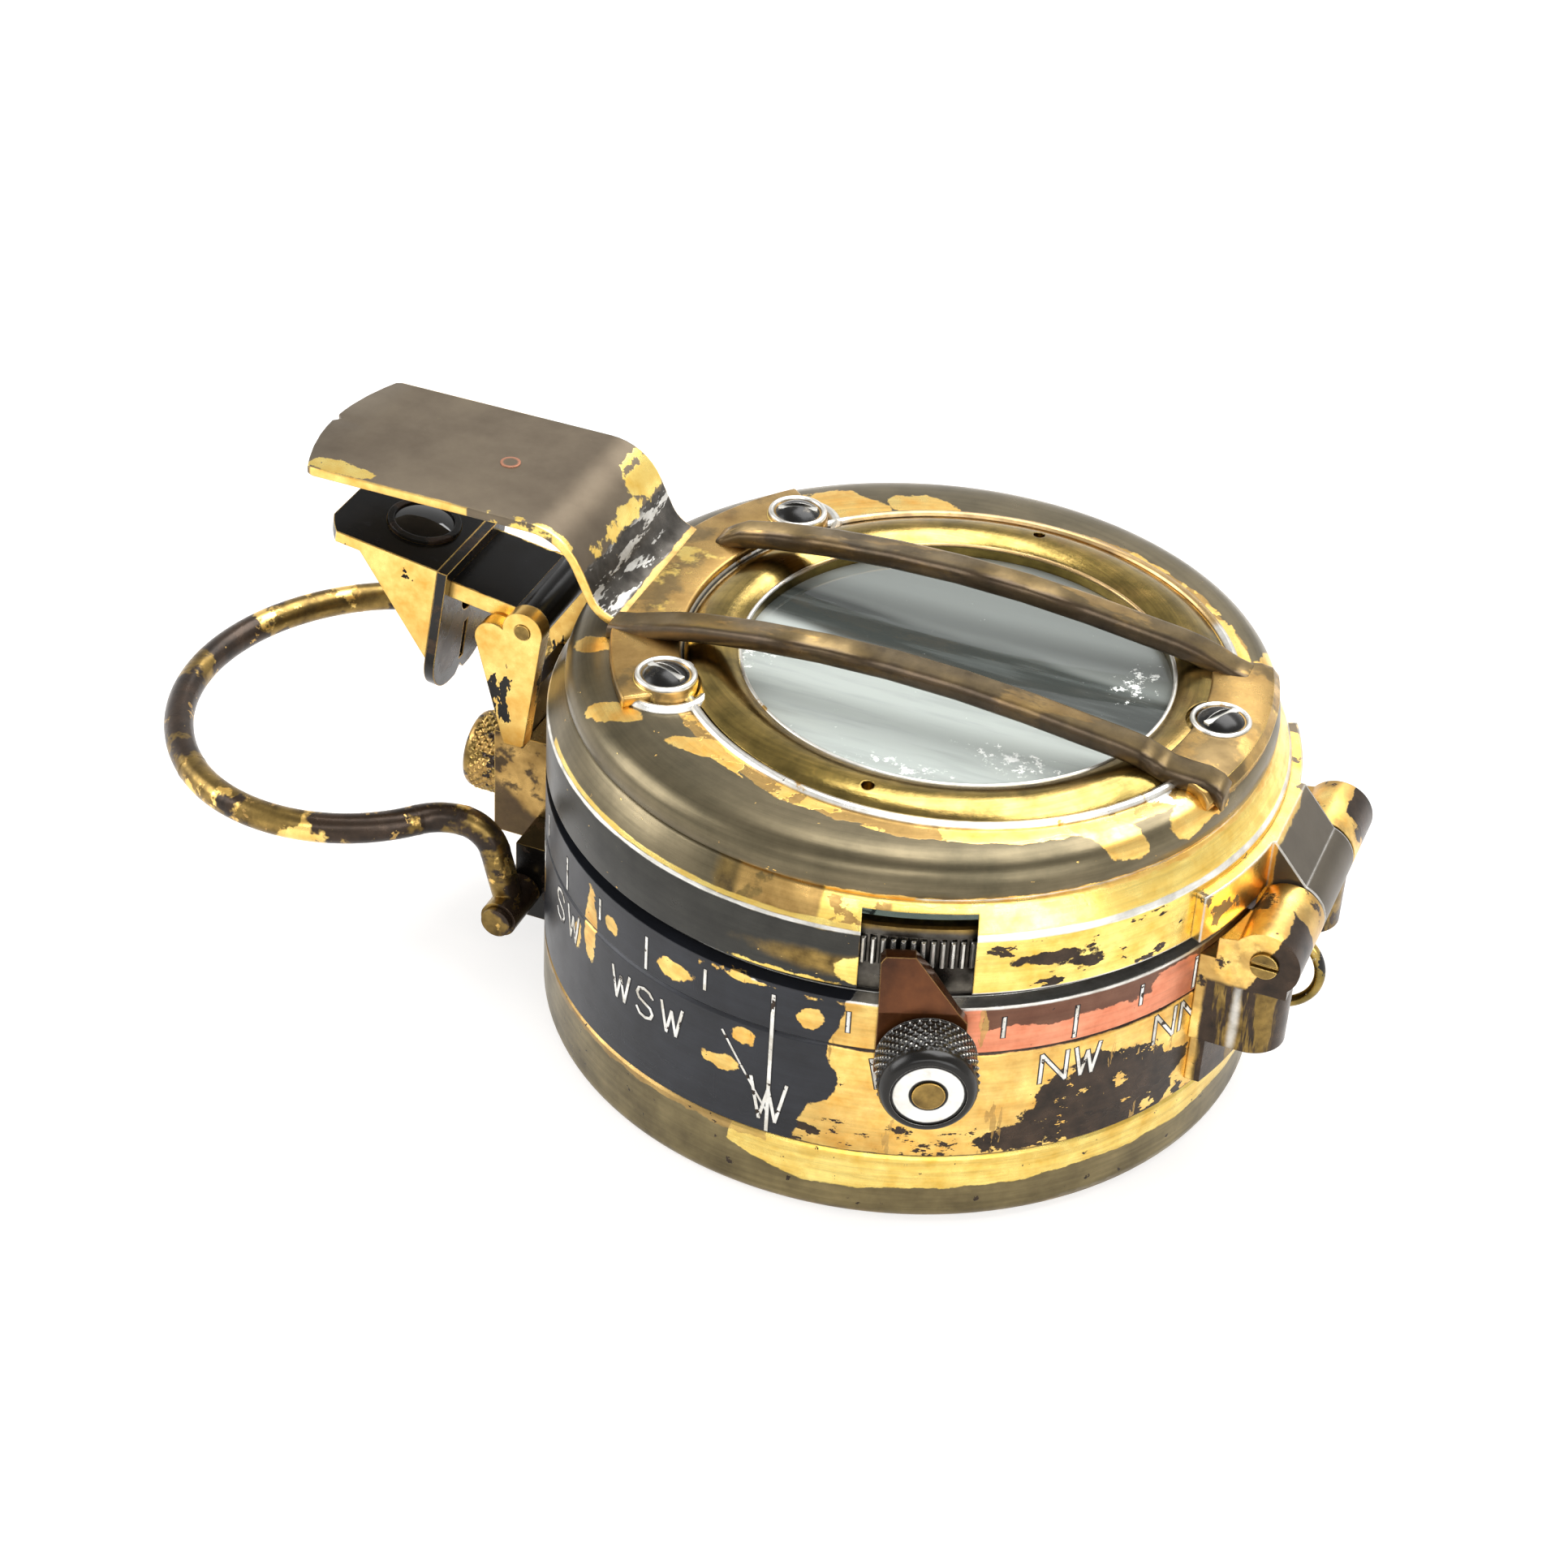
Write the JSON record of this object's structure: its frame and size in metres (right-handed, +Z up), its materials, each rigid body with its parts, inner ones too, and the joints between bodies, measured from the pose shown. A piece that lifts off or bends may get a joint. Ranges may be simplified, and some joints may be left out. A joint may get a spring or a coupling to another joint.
{
  "type": "prismatic compass",
  "caption": "Round metal marching compass with a hinged windowed lid, guard bars, folding prism, milled bezel with clamp and wire thumb ring.",
  "frame": {"origin": "centre of the case's base face", "axes": "+Z up through the dial, +X towards the lid hinge, -X towards the prism and thumb ring"},
  "size_m": [0.1099, 0.069, 0.044],
  "materials": {
    "case_brass": "worn lacquered brass with dark patches",
    "lid_brass": "dark bronzed brass, rubbed bright at the edges",
    "bright_brass": "polished brass",
    "dark_metal": "black lacquered brass",
    "red_brown": "reddish brown patinated brass",
    "steel": "dull steel",
    "magnet_steel": "blued steel",
    "white_paint": "white enamel filling",
    "card": "printed card",
    "jewel": "red jewel bearing",
    "clear_glass": "clear flat glass",
    "prism_glass": "clear optical glass"
  },
  "bodies": {
    "case": {"case_body": "case_brass", "base_cap": "case_brass", "capsule_bowl": "lid_brass", "capsule_glass": "clear_glass", "capsule_ring": "bright_brass", "pivot_post": "steel", "hinge_lug": "bright_brass", "hinge_pin": "lid_brass", "lanyard_loop": "bright_brass", "prism_bracket": "case_brass", "bracket_screws": "steel", "ring_lug": "dark_metal", "ring_pins": "bright_brass"},
    "card": {"compass_card": "card", "card_jewel": "jewel", "card_magnets": "magnet_steel"},
    "bezel": {"bezel_ring": "lid_brass", "bezel_glass": "clear_glass", "bezel_glass_ring": "bright_brass"},
    "clamp_screw": {"clamp_screw": "dark_metal", "clamp_inlay": "white_paint", "clamp_pin": "bright_brass"},
    "clamp_lever": {"clamp_lever": "red_brown"},
    "lid": {"lid_shell": "lid_brass", "lid_leaf": "lid_brass", "lid_glass": "clear_glass", "window_ring": "bright_brass", "guard_frame": "lid_brass", "guard_screws": "steel", "tongue_rivet": "lid_brass"},
    "slide": {"focus_slide": "case_brass", "prism_hinge_pin": "bright_brass"},
    "focus_screw": {"focus_screw": "case_brass"},
    "prism": {"prism_arm": "dark_metal", "prism_housing": "dark_metal", "eye_plate": "dark_metal", "prism_glass": "prism_glass", "prism_lens": "prism_glass", "lens_ring": "dark_metal"},
    "ring": {"thumb_ring": "case_brass"}
  },
  "joints": [
    {"name": "lid_open", "type": "hinge", "parent": "case", "child": "lid", "pos_m": [0.0351, 0, 0.02245], "axis": [0, 1, 0], "range_deg": [0, 180]},
    {"name": "slide_focus", "type": "slide", "parent": "case", "child": "slide", "axis": [0, 0, 1], "range_m": [0, 0.004]},
    {"name": "prism_fold", "type": "hinge", "parent": "slide", "child": "prism", "pos_m": [-0.0346, 0, 0.0315], "axis": [0, 1, 0], "range_deg": [0, 172]},
    {"name": "focus_turn", "type": "hinge", "parent": "slide", "child": "focus_screw", "pos_m": [-0.0415, 0, 0.0129], "axis": [-1, 0, 0], "range_deg": [-180, 180]},
    {"name": "bezel_turn", "type": "hinge", "parent": "case", "child": "bezel", "pos_m": [0, 0, 0.0255], "axis": [0, 0, 1], "continuous": true},
    {"name": "card_turn", "type": "hinge", "parent": "case", "child": "card", "pos_m": [0, 0, 0.01285], "axis": [0, 0, 1], "continuous": true},
    {"name": "clamp_turn", "type": "hinge", "parent": "case", "child": "clamp_screw", "pos_m": [0.01378, -0.03326, 0.0193], "axis": [0.3827, -0.9239, 0], "range_deg": [-90, 0]},
    {"name": "clamp_rock", "type": "hinge", "parent": "case", "child": "clamp_lever", "pos_m": [0.01244, -0.03004, 0.017], "axis": [-0.9239, -0.3827, 0], "range_deg": [0, 1.2]},
    {"name": "ring_swing", "type": "hinge", "parent": "case", "child": "ring", "pos_m": [-0.0329, 0, 0.0062], "axis": [0, -1, 0], "range_deg": [0, 180]}
  ],
  "couplings": [
    {"joint": "prism_fold", "follows": "lid_open", "ratio": 0.95556},
    {"joint": "clamp_rock", "follows": "clamp_turn", "ratio": -0.013333}
  ]
}
